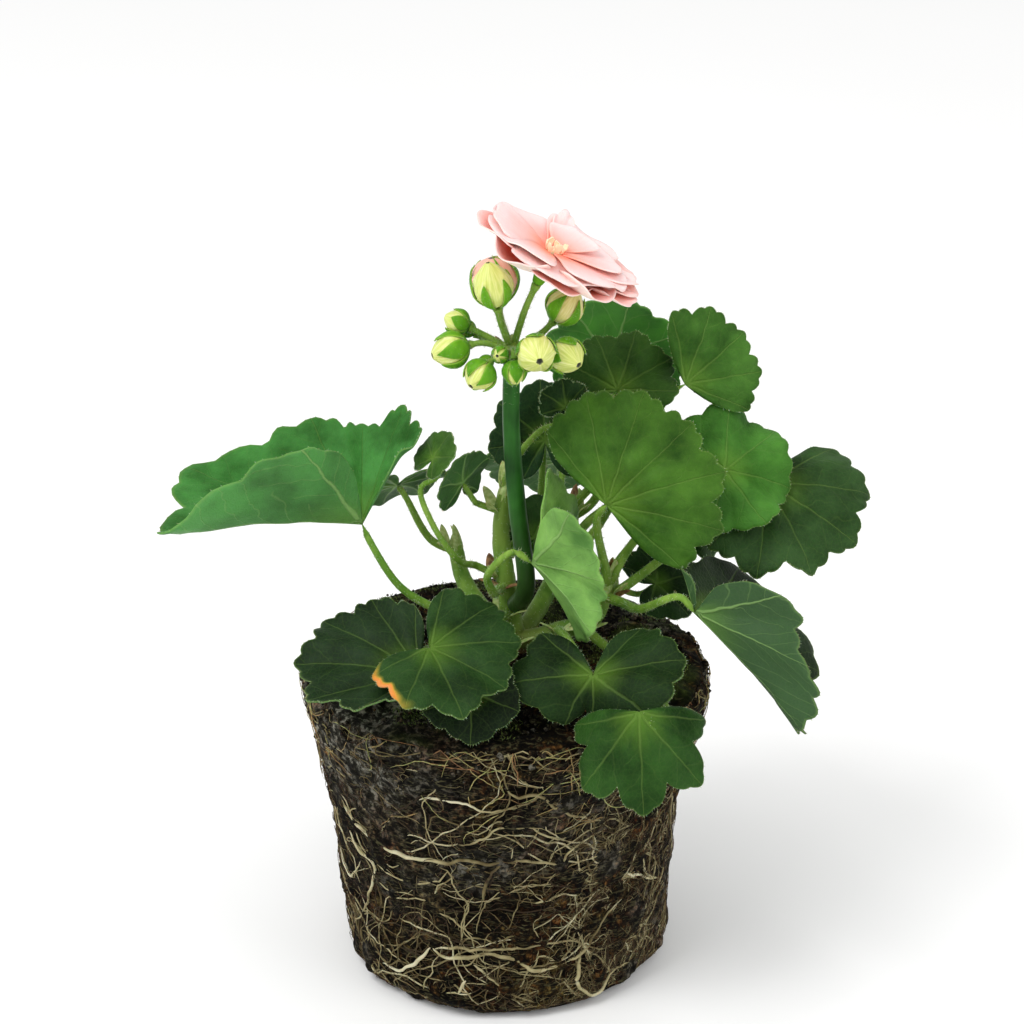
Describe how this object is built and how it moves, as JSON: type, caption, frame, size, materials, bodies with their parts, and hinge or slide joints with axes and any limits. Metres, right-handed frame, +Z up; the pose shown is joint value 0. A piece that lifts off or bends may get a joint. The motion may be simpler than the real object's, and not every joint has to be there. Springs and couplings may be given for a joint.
{
  "type": "potted rosebud zonal geranium",
  "caption": "Flowering geranium plant on a bare root ball, with scalloped leaves, an open double pink bloom and pale buds.",
  "frame": {"origin": "centre of the root ball's flat underside, on the surface that it stands on", "axes": "+Z up along the root ball, -Y to the viewer of the picture, +X to the viewer's right"},
  "size_m": [0.1911, 0.145, 0.2202],
  "materials": {
    "peat": "matt moist peat bound by pale roots",
    "stem": "downy green shoots, woody at the foot",
    "scape": "smooth green flower stalk with fine hairs",
    "bud": "furled petals in pointed sepals",
    "petal": "soft satin petals",
    "blade": "downy leaves with paler veins"
  },
  "bodies": {
    "root": {"root_ball": "peat", "stem": "stem", "flower_stalk": "scape", "bloom": "petal", "bud_01": "bud", "bud_02": "bud", "bud_03": "bud", "bud_04": "bud", "bud_05": "bud", "bud_06": "bud", "bud_07": "bud", "bud_08": "bud", "bud_09": "bud", "bud_10": "bud", "bud_11": "bud", "bud_12": "bud", "leaf_01": "blade", "leaf_02": "blade", "leaf_03": "blade", "leaf_04": "blade", "leaf_05": "blade", "leaf_06": "blade", "leaf_07": "blade", "leaf_08": "blade", "leaf_09": "blade", "leaf_10": "blade", "leaf_11": "blade", "leaf_12": "blade", "leaf_13": "blade", "leaf_14": "blade", "leaf_15": "blade", "leaf_16": "blade", "leaf_17": "blade", "leaf_18": "blade", "leaf_19": "blade", "leaf_20": "blade", "leaf_21": "blade", "leaf_22": "blade", "leaf_23": "blade", "leaf_24": "blade", "leaf_25": "blade"}
  },
  "joints": []
}
